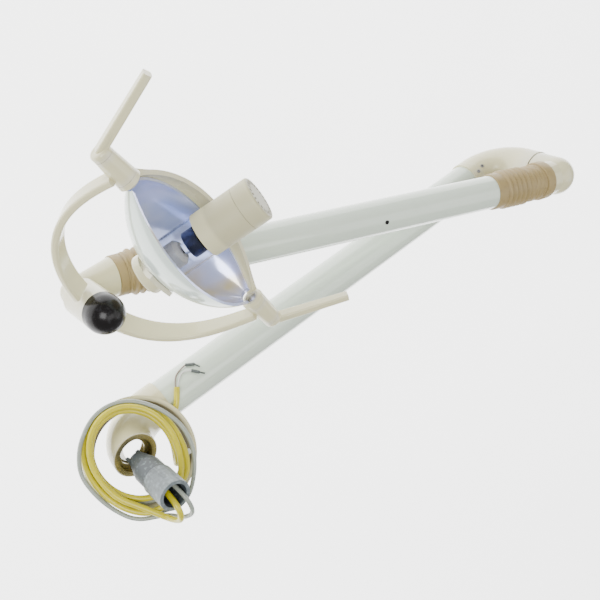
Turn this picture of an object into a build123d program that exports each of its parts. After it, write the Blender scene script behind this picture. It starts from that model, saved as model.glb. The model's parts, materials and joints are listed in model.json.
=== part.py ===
from build123d import *
import os
from math import cos, pi, radians, sin, tan

# Dental operating light: a rigid arm that drops on a post, a balanced spring arm and a lamp head.
# It lies folded on a bench. Origin: centre of the post socket's mouth. +Z out of the socket,
# +X along the rigid arm. All sizes in millimetres.

# ---------------------------------------------------------------- driving dimensions
tube_od = 50.0            # rigid arm tube
tube_id = 45.0
casting_od = 54.0         # cream elbows at both ends of the rigid arm
casting_bore = 39.0
bend_radius = 52.0        # centre-line radius of both elbows
mouth_rise = 52.0         # socket mouth above the rigid arm's centre line
spigot_len = 26.0         # how far an elbow plugs into the tube
arm_start = 68.0          # end of the tube at the socket
arm_end = 608.0           # end of the tube at the swivel
swivel_x = 674.0          # vertical swivel at the far end of the rigid arm
swivel_rise = 74.5        # swivel seam above the rigid arm's centre line
fold_angle = 18.0         # spring arm folded back beside the rigid arm, seen from above
droop = 7.8               # spring arm falls towards the head by this angle
spring_len = 569.0        # between the spring arm's two hinges
spring_od = 43.5
spring_id = 38.5
hinge_reach = 56.0        # swivel axis to first hinge
hinge_rise = 30.5         # swivel seam to first hinge
link_drop = 13.0          # parallel link below the hinge axis
hub_reach = 60.0          # second hinge to the fork's swivel axis
hub_od = 40.0
hub_base = 2.0            # heights above the socket mouth
hub_top = 50.0
fork_angle = 21.2         # the fork points this way, seen from above
pivot_reach = 102.3       # fork swivel axis to head pivot axis
pivot_height = 99.6
pivot_half = 101.0        # pivot centre to the seam between fork boss and head
boss_len = 29.0
lamp_tilt = 29.0          # lamp axis above level
mirror_tilt = 51.0        # mirror axis above level
mirror_half = 94.0        # half length of the mirror along the pivot axis
mirror_bulge = 46.0       # half width of the mirror, and its depth
mirror_wall = 3.0
lamp_od = 44.0
handle_len = 82.0
handle_splay = 22.0
dish_r = 65.0
dish_hole_r = 49.5
dish_depth = 7.0
dish_lean = 44.0          # the loose rosette leans on the elbow
yellow_d = 7.0
grey_d = 5.0
gap = 0.3                 # clearance between pieces that move on each other

os.makedirs("parts", exist_ok=True)

# ---------------------------------------------------------------- places worked out from them
arm_z = -mouth_rise
seam_z = arm_z + swivel_rise
up = Vector(0, 0, 1)
toward_head = Vector(-cos(radians(fold_angle)), sin(radians(fold_angle)), 0)
hinge_dir = toward_head.cross(up) * -1
arm_dir = toward_head * cos(radians(droop)) - up * sin(radians(droop))
hinge_a = Vector(swivel_x, 0, seam_z + hinge_rise) + toward_head * hinge_reach
hinge_b = hinge_a + arm_dir * spring_len
hub_xy = hinge_b + toward_head * hub_reach
fork_dir = Vector(cos(radians(fork_angle)), sin(radians(fork_angle)), 0)
pivot_dir = up.cross(fork_dir)
pivot = Vector(hub_xy.X, hub_xy.Y, pivot_height) + fork_dir * pivot_reach
lamp_dir = fork_dir * cos(radians(lamp_tilt)) + up * sin(radians(lamp_tilt))
mirror_dir = fork_dir * cos(radians(mirror_tilt)) + up * sin(radians(mirror_tilt))


def across_arm(x):
    return Plane(origin=(x, 0, arm_z), x_dir=(0, 1, 0), z_dir=(1, 0, 0))


def along_spring(distance, side=0.0, height=0.0):
    """Plane square to the spring arm; its x is the hinge direction and its y points up."""
    base = Plane(origin=hinge_a, x_dir=hinge_dir, z_dir=arm_dir)
    return Plane(origin=base.from_local_coords((side, height, distance)),
                 x_dir=hinge_dir, z_dir=arm_dir)


def swivel_level(z):
    return Plane(origin=(swivel_x, 0, z))


def hub_level(z):
    return Plane(origin=(hub_xy.X, hub_xy.Y, z), x_dir=fork_dir, z_dir=(0, 0, 1))


def lamp_level(z):
    return Plane(origin=pivot + lamp_dir * z - lamp_side * lamp_offset, x_dir=pivot_dir, z_dir=lamp_dir)


lamp_side = lamp_dir.cross(pivot_dir)
lamp_offset = 4.0         # the lamp sits this far to the far side of the pivot axis
mirror_plane = Plane(origin=pivot, x_dir=pivot_dir, z_dir=mirror_dir)
pivot_axis = Axis(pivot, pivot_dir)


# ---------------------------------------------------------------- socket end of the rigid arm
liner_r = 23.5
liner_bore_r = 20.5
liner_depth = 24.0
window_r = 17.0

with BuildPart() as socket_elbow:
    with BuildLine(Plane.XZ) as socket_path:
        Line((arm_start, arm_z), (bend_radius, arm_z))
        CenterArc((bend_radius, 0), bend_radius, 270, -90)
    with BuildSketch(Plane(origin=(arm_start, 0, arm_z), x_dir=(0, 1, 0), z_dir=(-1, 0, 0))):
        Circle(casting_od / 2)
    sweep(path=socket_path.wire())
    with BuildSketch(across_arm(arm_start)):
        Circle(tube_id / 2 - 0.05)
    extrude(amount=spigot_len)
    with BuildSketch(Plane(origin=(arm_start, 0, arm_z), x_dir=(0, 1, 0), z_dir=(-1, 0, 0))):
        Circle(casting_bore / 2)
    sweep(path=socket_path.wire(), mode=Mode.SUBTRACT)
    with BuildSketch(across_arm(arm_start - 1)):
        Circle(casting_bore / 2)
    extrude(amount=spigot_len + 2, mode=Mode.SUBTRACT)
    with BuildSketch(Plane.XY):
        Circle(liner_r)
    extrude(amount=-liner_depth, mode=Mode.SUBTRACT)
    # oblique wiring window in the outside of the bend
    with BuildSketch(Plane(origin=(0, 0, -12), z_dir=(0.39, -0.57, -0.72))):
        Circle(window_r)
    extrude(amount=60, mode=Mode.SUBTRACT)
socket_elbow.part.label = "socket_elbow"
export_step(socket_elbow.part, "parts/socket_elbow.step")

lip_z = -8.0
lip_r = 15.5

with BuildPart() as socket_liner:
    with BuildSketch(Plane.XZ):
        with BuildLine():
            Polyline((liner_bore_r, 0.8), (casting_od / 2 - 1.2, 0.8), (casting_od / 2 - 1.2, 0),
                     (liner_r, 0), (liner_r, -liner_depth), (liner_bore_r, -liner_depth),
                     (liner_bore_r, lip_z - 3), (lip_r, lip_z - 3), (lip_r, lip_z),
                     (liner_bore_r, lip_z), close=True)
        make_face()
    revolve(axis=Axis.Z)
socket_liner.part.label = "socket_liner"
export_step(socket_liner.part, "parts/socket_liner.step")

bush_x = -2.0
bush_y = -2.0
bush_top = 90.0
bush_floor = 24.0

with BuildPart() as post_bush:
    bush_side = Plane(origin=(bush_x, bush_y, 0), x_dir=(1, 0, 0), z_dir=(0, -1, 0))
    with BuildSketch(bush_side):
        with BuildLine():
            Polyline((5, lip_z), (9, lip_z), (9.5, 4), (16.5, 30), (16.5, 52), (18, 54),
                     (18, bush_top), (14, bush_top), (13, bush_top - 6), (13, bush_floor),
                     (5, bush_floor), close=True)
        make_face()
    revolve(axis=Axis((bush_x, bush_y, 0), (0, 0, 1)))
    # one side cut away, which leaves the narrow tongue at the bottom
    with BuildSketch(Plane(origin=(bush_x, bush_y + 15, lip_z - 1))):
        Rectangle(40, 30)
    extrude(amount=15, mode=Mode.SUBTRACT)
post_bush.part.label = "post_bush"
export_step(post_bush.part, "parts/post_bush.step")

# ---------------------------------------------------------------- loose rosette round the elbow
dish_centre = Vector(6, -1.2, -1.6)
dish_up = Vector(0, sin(radians(dish_lean)), cos(radians(dish_lean)))
dish_plane = Plane(origin=dish_centre, x_dir=(1, 0, 0), z_dir=dish_up)
dish_side = Plane(origin=dish_centre, x_dir=(1, 0, 0), z_dir=dish_plane.y_dir * -1)

with BuildPart() as rosette_cover:
    with BuildSketch(dish_side):
        with BuildLine() as outside:
            dish_top = Line((dish_r, 0), (dish_r, -2))
            lip_under = Line(dish_top @ 1, (dish_r - 4, -2))
            wall_out = RadiusArc(lip_under @ 1, (dish_r - 12, -dish_depth), 18, short_sagitta=True)
            floor_under = Line(wall_out @ 1, (dish_hole_r, -dish_depth))
            edge = Line(floor_under @ 1, (dish_hole_r, -dish_depth + 1.6))
            floor_top = Line(edge @ 1, (dish_r - 12.2, -dish_depth + 1.6))
            wall_in = RadiusArc(floor_top @ 1, (dish_r - 5.6, -0.2), -16.5, short_sagitta=True)
            lip_top = Line(wall_in @ 1, (dish_r - 5.4, 0))
            Line(lip_top @ 1, dish_top @ 0)
        make_face()
    revolve(axis=Axis(dish_centre, dish_up))
rosette_cover.part.label = "rosette_cover"
export_step(rosette_cover.part, "parts/rosette_cover.step")

# spade tag pushed on a tab inside the rosette, and the thin earth wire that leaves it
tag_place = Plane(origin=dish_plane.from_local_coords((43, -33, -dish_depth + 1.6)),
                  x_dir=(1, 0, 0), z_dir=dish_up)

with BuildPart() as earth_tag:
    with BuildSketch(tag_place):
        RectangleRounded(9, 6, 1.2)
    extrude(amount=5)
    fillet(earth_tag.edges().filter_by(Axis(tag_place.origin, dish_up), reverse=True), 0.5)
earth_tag.part.label = "earth_tag"
export_step(earth_tag.part, "parts/earth_tag.step")

# ---------------------------------------------------------------- rigid arm
with BuildPart() as rigid_arm_tube:
    with BuildSketch(across_arm(arm_start)):
        Circle(tube_od / 2)
        Circle(tube_id / 2, mode=Mode.SUBTRACT)
    extrude(amount=arm_end - arm_start)
rigid_arm_tube.part.label = "rigid_arm_tube"
export_step(rigid_arm_tube.part, "parts/rigid_arm_tube.step")

pin_r = 11.0
pin_bore_r = 12.5
screw_r = 2.4
screw_out = Vector(0, 0.66, 0.75)
screw_planes = [Plane(origin=Vector(616.6, 0, arm_z) + screw_out * (casting_od / 2), z_dir=screw_out),
                Plane(origin=(627.0, 20.3, -33.8), z_dir=(-0.1, 0.75, 0.65))]

with BuildPart() as distal_elbow:
    with BuildLine(Plane.XZ) as distal_path:
        Line((arm_end, arm_z), (swivel_x - bend_radius, arm_z))
        CenterArc((swivel_x - bend_radius, 0), bend_radius, 270, 90)
        Line((swivel_x, 0), (swivel_x, seam_z))
    with BuildSketch(across_arm(arm_end)):
        Circle(casting_od / 2)
    sweep(path=distal_path.wire())
    with BuildSketch(Plane(origin=(arm_end, 0, arm_z), x_dir=(0, 1, 0), z_dir=(-1, 0, 0))):
        Circle(tube_id / 2 - 0.05)
    extrude(amount=spigot_len)
    with BuildSketch(across_arm(arm_end - spigot_len - 1)):
        Circle(casting_bore / 2)
    extrude(amount=spigot_len + 2, mode=Mode.SUBTRACT)
    with BuildSketch(across_arm(arm_end)):
        Circle(casting_bore / 2)
    sweep(path=distal_path.wire(), mode=Mode.SUBTRACT)
    # solid end that carries the swivel pin
    with BuildSketch(swivel_level(seam_z - 14)):
        Circle(casting_bore / 2 + 1)
    extrude(amount=14)
    with BuildSketch(swivel_level(seam_z - 14)):
        Circle(pin_r)
    extrude(amount=14, mode=Mode.SUBTRACT)
    # holes for the two grub screws, in the side away from the bench
    for screw_plane in screw_planes:
        with BuildSketch(screw_plane.offset(-10)):
            Circle(screw_r)
        extrude(amount=20, mode=Mode.SUBTRACT)
distal_elbow.part.label = "distal_elbow"
export_step(distal_elbow.part, "parts/distal_elbow.step")

with BuildPart() as elbow_screws:
    for screw_plane in screw_planes:
        with BuildSketch(screw_plane.offset(-5)):
            Circle(screw_r)
        extrude(amount=6)
        with BuildSketch(screw_plane.offset(1)):
            RegularPolygon(1.4, 6)
        extrude(amount=-2, mode=Mode.SUBTRACT)
elbow_screws.part.label = "elbow_screws"
export_step(elbow_screws.part, "parts/elbow_screws.step")

# ---------------------------------------------------------------- swivel between the two arms
with BuildPart() as swivel_pin:
    with BuildSketch(Plane(origin=(swivel_x, 0, seam_z), x_dir=(1, 0, 0), z_dir=(0, -1, 0))):
        with BuildLine():
            Polyline((0, -20), (casting_bore / 2 - 0.5, -20), (casting_bore / 2 - 0.5, -14),
                     (pin_r, -14), (pin_r, 20), (pin_r - 2, 20), (pin_r - 2, 25),
                     (pin_r, 25), (pin_r, 32), (pin_r - 1.5, 34), (0, 34), close=True)
        make_face()
    revolve(axis=Axis((swivel_x, 0, 0), (0, 0, 1)))
swivel_pin.part.label = "swivel_pin"
export_step(swivel_pin.part, "parts/swivel_pin.step")

with BuildPart() as swivel_washer:
    with BuildSketch(swivel_level(seam_z)):
        Circle(25)
        Circle(pin_r + 0.1, mode=Mode.SUBTRACT)
    extrude(amount=1.2)
swivel_washer.part.label = "swivel_washer"
export_step(swivel_washer.part, "parts/swivel_washer.step")

with BuildPart() as swivel_bush:
    with BuildSketch(swivel_level(seam_z + 2)):
        Circle(pin_bore_r)
        Circle(pin_r + 0.06, mode=Mode.SUBTRACT)
    extrude(amount=16)
swivel_bush.part.label = "swivel_bush"
export_step(swivel_bush.part, "parts/swivel_bush.step")

# ---------------------------------------------------------------- knuckle with its two hinge pins
knuckle_r = 26.0
tongue_w = 16.0
ear_w = 4.5
hinge_r = 4.0
link_pin_r = 2.5
fold_side = Plane(origin=hinge_a, x_dir=toward_head, z_dir=hinge_dir * -1)
slot_w = 7.0


def tongue_outline(place, reach):
    """Side view of a hinge tongue: hinge pin on top, link pin below it."""
    with BuildSketch(place) as outline:
        with BuildLine():
            Polyline((reach, 9), (0, 9), (0, -link_drop - 5), (reach, -link_drop - 5), close=True)
        make_face()
        Circle(9)
        with Locations((0, -link_drop)):
            Circle(5)
    return outline.sketch


with BuildPart() as proximal_knuckle:
    with BuildSketch(swivel_level(seam_z + 1.4)):
        Circle(knuckle_r)
    extrude(amount=hinge_rise - 1.4)
    with Locations((swivel_x, 0, seam_z + hinge_rise)):
        Sphere(knuckle_r)
    with BuildSketch(Plane(origin=hinge_a - toward_head * hinge_reach, x_dir=hinge_dir, z_dir=toward_head)):
        Circle(knuckle_r - 3)
    extrude(amount=hinge_reach - 13)
    extrude(tongue_outline(fold_side, -28), amount=tongue_w / 2, both=True)
    # slot for the link's eye, the two pin holes and the swivel bore
    with BuildSketch(fold_side):
        with Locations((0, -link_drop - 1)):
            Rectangle(27, 19)
    extrude(amount=slot_w / 2, both=True, mode=Mode.SUBTRACT)
    with BuildSketch(fold_side):
        Circle(hinge_r)
        with Locations((0, -link_drop)):
            Circle(link_pin_r)
    extrude(amount=20, both=True, mode=Mode.SUBTRACT)
    with BuildSketch(swivel_level(seam_z + 1)):
        Circle(pin_bore_r)
    extrude(amount=36, mode=Mode.SUBTRACT)
    with BuildSketch(Plane(origin=(swivel_x, 0, seam_z + 22.5), z_dir=(0, -1, 0))):
        Circle(2.2)
    extrude(amount=40, mode=Mode.SUBTRACT)
proximal_knuckle.part.label = "proximal_knuckle"
export_step(proximal_knuckle.part, "parts/proximal_knuckle.step")

with BuildPart() as swivel_screw:
    with BuildSketch(Plane(origin=(swivel_x, -pin_r + 1.5, seam_z + 22.5), z_dir=(0, -1, 0))):
        Circle(2.15)
    extrude(amount=14)
swivel_screw.part.label = "swivel_screw"
export_step(swivel_screw.part, "parts/swivel_screw.step")


def hinge_pins(name, main_plane, link_plane):
    """The main hinge pin and the smaller pin that the parallel link turns on."""
    with BuildPart() as pins:
        with BuildSketch(main_plane):
            Circle(hinge_r)
        extrude(amount=13.5, both=True)
        with BuildSketch(link_plane):
            Circle(link_pin_r)
        extrude(amount=tongue_w / 2, both=True)
        chamfer(pins.edges().filter_by(GeomType.CIRCLE), 0.4)
    pins.part.label = name
    export_step(pins.part, f"parts/{name}.step")


link_side = Plane(origin=hinge_a - up * link_drop, x_dir=toward_head, z_dir=hinge_dir * -1)
hinge_pins("proximal_pins", fold_side, link_side)

# ---------------------------------------------------------------- spring arm
tube_from = 60.0
tube_to = 521.0
plug_r = spring_id / 2 - 0.05
plug_len = 40.0
rod_rise = 6.0            # the spring lies above the centre line, clear of the link

with BuildPart() as spring_arm_tube:
    with BuildSketch(along_spring(tube_from)):
        Circle(spring_od / 2)
        Circle(spring_id / 2, mode=Mode.SUBTRACT)
    extrude(amount=tube_to - tube_from)
    with BuildSketch(Plane(origin=along_spring(245).origin, x_dir=hinge_dir,
                           z_dir=along_spring(0).y_dir)):
        Circle(2.6)
    extrude(amount=30, mode=Mode.SUBTRACT)
spring_arm_tube.part.label = "spring_arm_tube"
export_step(spring_arm_tube.part, "parts/spring_arm_tube.step")


def arm_clevis(name, pin_at, plug_from, plug_to, rod_hole):
    """Plug in the tube's end with two ears that straddle a knuckle's tongue."""
    low = min(pin_at, plug_from)
    high = max(pin_at, plug_to)
    with BuildPart() as clevis:
        with BuildSketch(along_spring(plug_from)):
            Circle(plug_r)
        extrude(amount=plug_to - plug_from)
        with BuildSketch(along_spring(low)):
            with Locations((tongue_w / 2 + gap + ear_w / 2, 0), (-tongue_w / 2 - gap - ear_w / 2, 0)):
                Rectangle(ear_w, 18)
        extrude(amount=high - low)
        pin_plane = Plane(origin=along_spring(pin_at).origin, x_dir=arm_dir, z_dir=hinge_dir)
        with BuildSketch(pin_plane.offset(tongue_w / 2 + gap)):
            Circle(9)
        extrude(amount=ear_w)
        with BuildSketch(pin_plane.offset(-tongue_w / 2 - gap)):
            Circle(9)
        extrude(amount=-ear_w)
        with BuildSketch(pin_plane.offset(-20)):
            Circle(hinge_r + 0.05)
        extrude(amount=40, mode=Mode.SUBTRACT)
        # way for the parallel link, and the hole for the spring's rod
        with BuildSketch(along_spring(low)):
            with Locations((0, -13.5)):
                Rectangle(11, 14)
        extrude(amount=high - low, mode=Mode.SUBTRACT)
        if rod_hole:
            with BuildSketch(along_spring(plug_from, 0, rod_rise)):
                Circle(4)
            extrude(amount=plug_to - plug_from, mode=Mode.SUBTRACT)
    clevis.part.label = name
    export_step(clevis.part, f"parts/{name}.step")


arm_clevis("spring_clevis_proximal", 0, tube_from + 2, tube_from + plug_len, True)
arm_clevis("spring_clevis_distal", spring_len, tube_to - plug_len, tube_to - 2, False)

spring_from = tube_from + plug_len + 6
spring_turns = 22
spring_pitch = 8.0
spring_to = spring_from + spring_turns * spring_pitch

with BuildPart() as spring_rod:
    with BuildSketch(along_spring(tube_from + 4, 0, rod_rise)):
        Circle(3.95)
    extrude(amount=spring_to + 30 - tube_from - 4)
spring_rod.part.label = "spring_rod"
export_step(spring_rod.part, "parts/spring_rod.step")


def rod_disc(name, start, length, radius, sides=0):
    with BuildPart() as disc:
        with BuildSketch(along_spring(start, 0, rod_rise)):
            if sides:
                RegularPolygon(radius, sides)
            else:
                Circle(radius)
            Circle(4.0, mode=Mode.SUBTRACT)
        extrude(amount=length)
    disc.part.label = name
    export_step(disc.part, f"parts/{name}.step")


rod_disc("spring_seat", tube_from + plug_len, 4, 11)
rod_disc("spring_plunger", spring_to + 2, 5, 11)
rod_disc("spring_nut", spring_to + 7, 9, 9.5, 6)

with BuildPart() as balance_spring:
    with BuildLine() as coil_line:
        Helix(pitch=spring_pitch, height=spring_turns * spring_pitch, radius=8.2,
              center=along_spring(spring_from, 0, rod_rise).origin, direction=arm_dir)
    with BuildSketch(Plane(origin=coil_line.line @ 0, z_dir=coil_line.line % 0)):
        Circle(1.5)
    sweep(path=coil_line.line, is_frenet=True)
balance_spring.part.label = "balance_spring"
export_step(balance_spring.part, "parts/balance_spring.step")

with BuildPart() as stop_screw:
    stop_top = Plane(origin=along_spring(245, 0, spring_od / 2 + 0.6).origin, x_dir=hinge_dir,
                     z_dir=along_spring(0).y_dir)
    with BuildSketch(stop_top):
        Circle(2.55)
    extrude(amount=-4.4)
    with BuildSketch(stop_top):
        RegularPolygon(1.3, 6)
    extrude(amount=-0.7, mode=Mode.SUBTRACT)
stop_screw.part.label = "stop_screw"
export_step(stop_screw.part, "parts/stop_screw.step")

link_base = Plane(origin=hinge_a - up * link_drop, x_dir=hinge_dir, z_dir=arm_dir)

with BuildPart() as parallel_link:
    with BuildSketch(link_base.offset(5)):
        Circle(2.6)
    extrude(amount=spring_len - 10)
    for reach in (0, spring_len):
        eye = Plane(origin=link_base.offset(reach).origin, x_dir=arm_dir, z_dir=hinge_dir)
        with BuildSketch(eye):
            Circle(5.6)
        extrude(amount=slot_w / 2 - gap, both=True)
        with BuildSketch(eye):
            Circle(link_pin_r + (0.05 if reach == 0 else 0.5))
        extrude(amount=10, both=True, mode=Mode.SUBTRACT)
parallel_link.part.label = "parallel_link"
export_step(parallel_link.part, "parts/parallel_link.step")

# ---------------------------------------------------------------- knuckle under the fork's hub
spindle_r = 8.0
hub_centre = Vector(hub_xy.X, hub_xy.Y, 0)
head_side = Plane(origin=hinge_b, x_dir=toward_head, z_dir=hinge_dir * -1)
cone_from = 13.0
collar_r = 20.0           # hollow collar that the bellows grips
cone_end_z = -11.0

with BuildPart() as distal_knuckle:
    with BuildSketch(Plane(origin=hinge_b + toward_head * cone_from, x_dir=hinge_dir, z_dir=toward_head)):
        Circle(21)
    with BuildSketch(Plane(origin=hub_centre + up * cone_end_z, x_dir=hinge_dir, z_dir=toward_head)):
        Circle(15.5)
    loft()
    with BuildSketch(Plane(origin=hinge_b + toward_head * 7, x_dir=hinge_dir, z_dir=toward_head)):
        Circle(collar_r)
        Circle(collar_r - 3, mode=Mode.SUBTRACT)
    extrude(amount=cone_from - 7)
    with Locations(hub_centre + up * cone_end_z):
        Sphere(15.5)
    with BuildSketch(hub_level(cone_end_z)):
        Circle(15.5)
    extrude(amount=hub_base - 1.2 - cone_end_z)
    with BuildSketch(hub_level(hub_base - 1.2)):
        Circle(hub_od)
    extrude(amount=20, mode=Mode.SUBTRACT)
    extrude(tongue_outline(head_side, cone_from + 2), amount=tongue_w / 2, both=True)
    with BuildSketch(head_side):
        with Locations((-1, -link_drop - 1)):
            Rectangle(23, 19)
    extrude(amount=slot_w / 2, both=True, mode=Mode.SUBTRACT)
    with BuildSketch(head_side):
        Circle(hinge_r)
        with Locations((0, -link_drop)):
            Circle(link_pin_r)
    extrude(amount=20, both=True, mode=Mode.SUBTRACT)
    with BuildSketch(hub_level(-20)):
        Circle(spindle_r)
    extrude(amount=30, mode=Mode.SUBTRACT)
distal_knuckle.part.label = "distal_knuckle"
export_step(distal_knuckle.part, "parts/distal_knuckle.step")

head_link_side = Plane(origin=hinge_b - up * link_drop, x_dir=toward_head, z_dir=hinge_dir * -1)
hinge_pins("distal_pins", head_side, head_link_side)

with BuildPart() as hub_spindle:
    with BuildSketch(hub_level(-20)):
        Circle(spindle_r)
    extrude(amount=60)
    with BuildSketch(hub_level(40)):
        Circle(spindle_r - 2)
    extrude(amount=14)
hub_spindle.part.label = "hub_spindle"
export_step(hub_spindle.part, "parts/hub_spindle.step")


def hub_ring(name, z, height, outer, inner, sides=0):
    with BuildPart() as ring:
        with BuildSketch(hub_level(z)):
            if sides:
                RegularPolygon(outer, sides)
            else:
                Circle(outer)
            Circle(inner, mode=Mode.SUBTRACT)
        extrude(amount=height)
    ring.part.label = name
    export_step(ring.part, f"parts/{name}.step")


hub_ring("hub_washer", hub_base - 1.2, 1.0, 15, spindle_r + 0.1)
hub_ring("hub_bush", hub_base, 38.0, 10.0, spindle_r + 0.06)
hub_ring("friction_disc", 40.2, 2.0, 14.5, spindle_r - 2 + 0.1)
hub_ring("spindle_nut", 42.2, 6.0, 10.0, spindle_r - 2, 6)

# ---------------------------------------------------------------- fork
boss_r = 11.5
boss_end_r = 9.8
shaft_r = 6.0
bow_start = 0.8
bow_reach = 92.8
bow_half = 110.0
bow_low = 34.0
bow_rise = 66.0
band_tilt = 58.0
band_dir = up * cos(radians(band_tilt)) - fork_dir * sin(radians(band_tilt))


def bow_point(turn, side):
    """Centre line of the fork's bow: it swings out from the hub and climbs to the head pivot."""
    share = 1 - cos(radians(turn)) ** 0.78
    return (hub_centre + fork_dir * (bow_start + bow_reach * share)
            + pivot_dir * (side * bow_half * sin(radians(turn)))
            + up * (bow_low + bow_rise * share ** 1.45))


def bow_plane(turn, side):
    tangent = (bow_point(turn, side) - bow_point(turn - 0.5, side)).normalized()
    across = band_dir - tangent * band_dir.dot(tangent)
    return Plane(origin=bow_point(turn, side), x_dir=across, z_dir=tangent)


with BuildPart() as fork_hub:
    with BuildSketch(hub_level(hub_base)):
        Circle(hub_od / 2)
    extrude(amount=hub_top - hub_base - 3)
    fillet(fork_hub.edges().sort_by(Axis.Z)[0], 2.5)
    with BuildSketch(hub_level(hub_base)):
        Circle(10.0)
    extrude(amount=38, mode=Mode.SUBTRACT)
    with BuildSketch(hub_level(hub_base + 38)):
        Circle(15.5)
    extrude(amount=20, mode=Mode.SUBTRACT)
fork_hub.part.label = "fork_hub"
export_step(fork_hub.part, "parts/fork_hub.step")

cap_r = hub_od / 2 + 0.3
dome_z = hub_top + 4

with BuildPart() as hub_cap:
    with BuildSketch(Plane(origin=(hub_xy.X, hub_xy.Y, 0), x_dir=(1, 0, 0), z_dir=(0, -1, 0))):
        with BuildLine():
            Line((0, dome_z + cap_r), (0, dome_z + cap_r - 2.5))
            CenterArc((0, dome_z), cap_r - 2.5, 90, -90)
            Line((cap_r - 2.5, dome_z), (cap_r - 2.5, hub_top - 3))
            Line((cap_r - 2.5, hub_top - 3), (cap_r, hub_top - 3))
            Line((cap_r, hub_top - 3), (cap_r, dome_z))
            CenterArc((0, dome_z), cap_r, 0, 90)
        make_face()
    revolve(axis=Axis((hub_xy.X, hub_xy.Y, 0), (0, 0, 1)))
hub_cap.part.label = "hub_cap"
export_step(hub_cap.part, "parts/hub_cap.step")

bow_turns = [12, 24, 36, 48, 60, 72, 82, 90]


def fork_arm(name, side):
    with BuildPart() as arm:
        for number, turn in enumerate(bow_turns):
            share = number / (len(bow_turns) - 1)
            with BuildSketch(bow_plane(turn, side)):
                RectangleRounded(23 - 7 * share, 7.5, 2.6)
        loft()
        # boss that carries the head's shaft
        boss_start = Plane(origin=pivot + pivot_dir * (side * pivot_half), x_dir=fork_dir,
                           z_dir=pivot_dir * side)
        with BuildSketch(boss_start.offset(gap)):
            Circle(boss_r)
        with BuildSketch(boss_start.offset(boss_len)):
            Circle(boss_end_r)
        loft()
        with BuildSketch(boss_start.offset(-5)):
            Circle(shaft_r + 0.06)
        extrude(amount=boss_len + 20, mode=Mode.SUBTRACT)
        with BuildSketch(hub_level(hub_base - 5)):
            Circle(hub_od / 2)
        extrude(amount=80, mode=Mode.SUBTRACT)
    arm.part.label = name
    export_step(arm.part, f"parts/{name}.step")


fork_arm("fork_arm_left", 1)
fork_arm("fork_arm_right", -1)

# ---------------------------------------------------------------- head
arc_r = (mirror_half ** 2 + mirror_bulge ** 2) / (2 * mirror_bulge)
arc_drop = arc_r - mirror_bulge


def mirror_arc_x(offset, height):
    """Where the mirror's curve, moved out by offset, stands at this height over the pivot axis."""
    return ((arc_r + offset) ** 2 - (arc_drop + height) ** 2) ** 0.5


def mirror_arc_y(offset, aside):
    """Height of the mirror's curve, moved out by offset, this far aside of its middle."""
    return ((arc_r + offset) ** 2 - aside ** 2) ** 0.5 - arc_drop


def around_pivot(angle):
    """Half plane through the pivot axis; 0 is the far rim, +90 the way the mirror faces."""
    out = mirror_plane.y_dir * -cos(radians(angle)) + mirror_plane.z_dir * sin(radians(angle))
    return Plane(origin=pivot, x_dir=pivot_dir, z_dir=pivot_dir.cross(out))


def curved_strip(place, inner, outer, low):
    """Section of a strip that follows the mirror's curve."""
    x_in = mirror_arc_x(inner, low)
    x_out = mirror_arc_x(outer, low)
    with BuildSketch(place) as strip:
        with BuildLine():
            strip_in = ThreePointArc((-x_in, low), (0, mirror_bulge + inner), (x_in, low))
            Line(strip_in @ 1, (x_out, low))
            strip_out = ThreePointArc((x_out, low), (0, mirror_bulge + outer), (-x_out, low))
            Line(strip_out @ 1, strip_in @ 0)
        make_face()
    return strip.sketch


lamp_hole_r = 22.2
rim_drop = 6.0             # the far rim stops this many degrees behind the pivot plane
band_rise = 12.0           # the frame's band stands this many degrees in front of it

with BuildPart() as reflector:
    revolve(curved_strip(around_pivot(-rim_drop), 0, mirror_wall, 8), axis=pivot_axis,
            revolution_arc=180)
    with BuildSketch(lamp_level(-70)):
        Circle(lamp_hole_r)
    extrude(amount=60, mode=Mode.SUBTRACT)
reflector.part.label = "reflector"
export_step(reflector.part, "parts/reflector.step")

frame_in = mirror_wall + 0.4
frame_out = frame_in + 4.6
spine_half = 15.0

with BuildPart() as head_frame:
    revolve(curved_strip(around_pivot(band_rise), frame_in, frame_out, 8), axis=pivot_axis,
            revolution_arc=38)
    with BuildSketch(around_pivot(0)):
        with BuildLine():
            spine_in = RadiusArc((-spine_half, mirror_arc_y(frame_in, spine_half)),
                                 (spine_half, mirror_arc_y(frame_in, spine_half)), arc_r + frame_in)
            spine_out = RadiusArc((-spine_half, mirror_arc_y(frame_out, spine_half)),
                                  (spine_half, mirror_arc_y(frame_out, spine_half)), arc_r + frame_out)
            Line(spine_in @ 0, spine_out @ 0)
            Line(spine_in @ 1, spine_out @ 1)
        make_face()
    revolve(axis=pivot_axis, revolution_arc=140)
    for side in (1, -1):
        with BuildSketch(around_pivot(0)):
            with BuildLine():
                Polyline((side * pivot_half, shaft_r), (side * pivot_half, boss_r),
                         (side * 96, 12), (side * 93, 8.5), (side * 93, shaft_r), close=True)
            make_face()
        revolve(axis=pivot_axis)
        with BuildSketch(around_pivot(band_rise)):
            with BuildLine():
                corner_out = Polyline((side * pivot_half, shaft_r), (side * pivot_half, boss_r),
                                      (side * 93, 16), (side * 82, 24),
                                      (side * mirror_arc_x(frame_in, 19), 19))
                ThreePointArc(corner_out @ 1, (side * mirror_arc_x(frame_in, 13), 13),
                              (side * mirror_arc_x(frame_in, shaft_r), shaft_r))
                Line((side * mirror_arc_x(frame_in, shaft_r), shaft_r), corner_out @ 0)
            make_face()
        revolve(axis=pivot_axis, revolution_arc=50)
    with BuildSketch(lamp_level(-80)):
        Circle(12)
    extrude(amount=60, mode=Mode.SUBTRACT)
head_frame.part.label = "head_frame"
export_step(head_frame.part, "parts/head_frame.step")

boss_back = -61.0

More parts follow.
